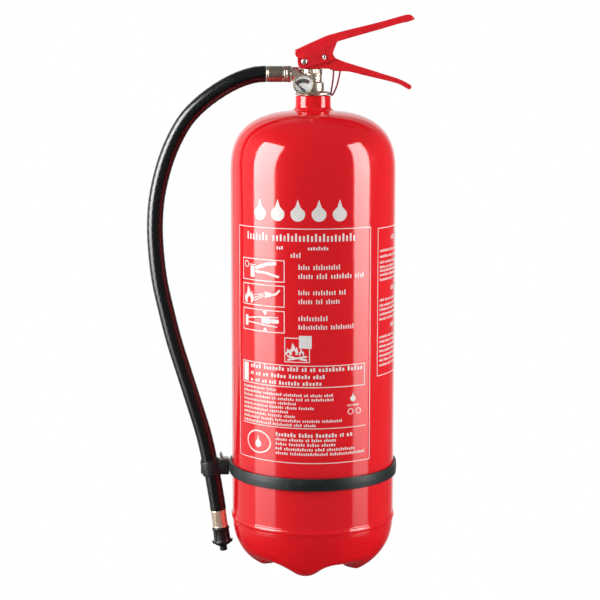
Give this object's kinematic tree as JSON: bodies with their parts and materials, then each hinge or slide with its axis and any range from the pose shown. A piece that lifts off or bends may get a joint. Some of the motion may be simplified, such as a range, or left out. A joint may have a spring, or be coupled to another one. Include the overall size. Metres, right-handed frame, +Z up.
{
  "type": "fire extinguisher",
  "caption": "Upright stored-pressure water fire extinguisher with squeeze lever, carry handle, pressure gauge, and a side hose that is clipped to a strap.",
  "frame": {"origin": "on the floor, at the middle of the bounding box of everything except the hose and its nozzle; the cylinder's axis is 8.6 mm towards +X from it", "axes": "+Z up along the cylinder, +X along the squeeze lever away from the hose, -Y towards the side with the pressure gauge"},
  "size_m": [0.2905, 0.1864, 0.6076],
  "materials": {
    "red_paint": "glossy",
    "red_plastic": "satin",
    "nickel": "nickel-plated",
    "brass": "polished",
    "steel": "satin",
    "black_rubber": "satin",
    "hose_rubber": "braided",
    "black_plastic": "satin",
    "white_plastic": "satin",
    "dial_white": "printed",
    "needle_black": "matt",
    "clear_lens": "clear"
  },
  "bodies": {
    "root": {"cylinder_body": "red_paint", "bottom_cap": "red_paint", "neck_boss": "red_paint", "neck_o_ring": "black_rubber", "valve_body": "nickel", "stem_spring": "steel", "stem_o_ring": "black_rubber", "gland_nut": "brass", "spring_retainer": "brass", "dip_tube": "white_plastic", "dip_tube_strainer": "white_plastic", "carry_handle": "red_paint", "handle_lock_ring": "steel", "pivot_rivet": "steel", "tamper_seal": "red_plastic", "gauge_case": "nickel", "gauge_bezel": "nickel", "gauge_lens": "clear_lens", "gauge_dial": "dial_white", "gauge_bourdon_tube": "brass", "hose_adapter": "brass", "ferrule_upper": "brass", "hose": "hose_rubber", "ferrule_lower": "brass", "nozzle_tail": "brass", "nozzle_body": "black_plastic", "nozzle_tip": "black_plastic", "body_strap": "black_rubber", "hose_clip": "black_plastic", "strap_buckle": "steel"},
    "lever": {"squeeze_lever": "red_paint"},
    "stem": {"valve_stem": "steel", "stem_seal": "black_rubber"},
    "pin": {"safety_pin": "steel", "pull_ring": "steel"},
    "needle": {"gauge_needle": "needle_black"}
  },
  "joints": [
    {"name": "lever_squeeze", "type": "hinge", "parent": "root", "child": "lever", "pos_m": [-0.0011, 0, 0.5576], "axis": [0, 1, 0], "range_deg": [0, 10], "stiffness_Nm_per_rad": 6, "springref_deg": -5.73},
    {"name": "stem_press", "type": "slide", "parent": "root", "child": "stem", "axis": [0, 0, -1], "range_m": [0, 0.0026], "deforming": ["stem_spring"]},
    {"name": "pin_pull", "type": "slide", "parent": "lever", "child": "pin", "axis": [0, 1, 0], "range_m": [0, 0.033]},
    {"name": "needle_swing", "type": "hinge", "parent": "root", "child": "needle", "pos_m": [-0.0021, -0.0292, 0.5274], "axis": [0, 1, 0], "range_deg": [-8, 85], "stiffness_Nm_per_rad": 0.0002}
  ],
  "couplings": [
    {"joint": "stem_press", "follows": "lever_squeeze", "m_per_rad": 0.014324}
  ]
}
